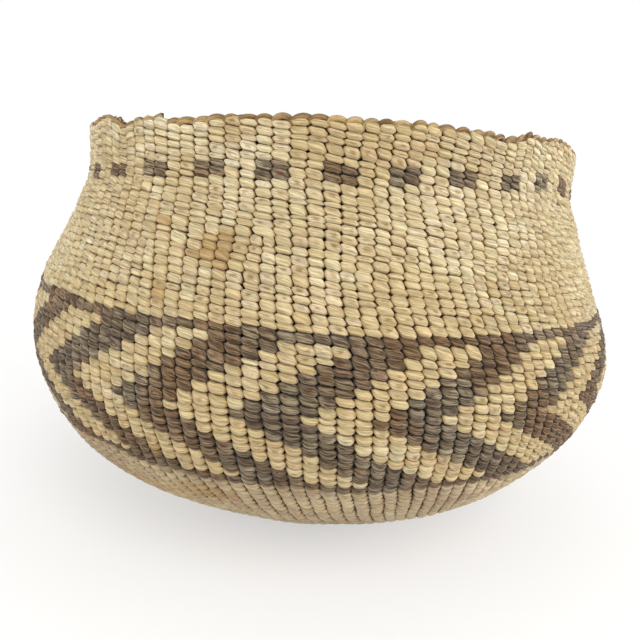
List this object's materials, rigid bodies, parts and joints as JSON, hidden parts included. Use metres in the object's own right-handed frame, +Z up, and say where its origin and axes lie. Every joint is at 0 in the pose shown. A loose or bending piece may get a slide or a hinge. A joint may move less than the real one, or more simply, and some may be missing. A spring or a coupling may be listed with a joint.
{
  "type": "basketry bowl",
  "caption": "Round twined basket with a flat base, a full belly and a low open neck; a chevron band of dark weft runs round the belly between plain borders",
  "frame": {"origin": "centre of the flat base, on the surface the bowl stands on", "axes": "+Z up along the bowl's axis, -Y towards the side shown in the picture"},
  "size_m": [0.1602, 0.1602, 0.1019],
  "materials": {
    "natural_weft": "dry split plant stem, straw coloured, matt with a faint sheen along the fibre",
    "worn_weft": "dry plant stem, greyed and rubbed smooth on the underside",
    "dark_weft": "plant fibre dyed grey-brown, matt",
    "warp_fibre": "twisted brown plant fibre, matt"
  },
  "bodies": {
    "root": {"base_weft_outside": "worn_weft", "heel_weft_outside": "worn_weft", "lower_flank_weft_outside": "worn_weft", "upper_flank_weft_outside": "worn_weft", "shoulder_weft_outside": "natural_weft", "dash_course_weft_outside": "natural_weft", "collar_weft_outside": "natural_weft", "light_chevron_01": "natural_weft", "light_chevron_02": "natural_weft", "light_chevron_03": "natural_weft", "light_chevron_04": "natural_weft", "light_chevron_05": "natural_weft", "light_chevron_06": "natural_weft", "light_chevron_07": "natural_weft", "light_chevron_08": "natural_weft", "light_chevron_09": "natural_weft", "light_chevron_10": "natural_weft", "light_chevron_11": "natural_weft", "light_chevron_12": "natural_weft", "light_chevron_13": "natural_weft", "light_chevron_14": "natural_weft", "light_chevron_15": "natural_weft", "light_chevron_16": "natural_weft", "light_chevron_17": "natural_weft", "light_chevron_18": "natural_weft", "light_chevron_19": "natural_weft", "base_weft_inside": "natural_weft", "heel_weft_inside": "natural_weft", "lower_flank_weft_inside": "natural_weft", "upper_flank_weft_inside": "natural_weft", "lower_band_weft_inside": "natural_weft", "upper_band_weft_inside": "natural_weft", "shoulder_weft_inside": "natural_weft", "collar_weft_inside": "natural_weft", "dark_border_lower": "dark_weft", "dark_border_upper": "dark_weft", "dark_chevron_01": "dark_weft", "dark_chevron_02": "dark_weft", "dark_chevron_03": "dark_weft", "dark_chevron_04": "dark_weft", "dark_chevron_05": "dark_weft", "dark_chevron_06": "dark_weft", "dark_chevron_07": "dark_weft", "dark_chevron_08": "dark_weft", "dark_chevron_09": "dark_weft", "dark_chevron_10": "dark_weft", "dark_chevron_11": "dark_weft", "dark_chevron_12": "dark_weft", "dark_chevron_13": "dark_weft", "dark_chevron_14": "dark_weft", "dark_chevron_15": "dark_weft", "dark_chevron_16": "dark_weft", "dark_chevron_17": "dark_weft", "dark_chevron_18": "dark_weft", "dark_chevron_19": "dark_weft", "warps": "warp_fibre", "rim_warp_ends": "warp_fibre"}
  },
  "joints": []
}
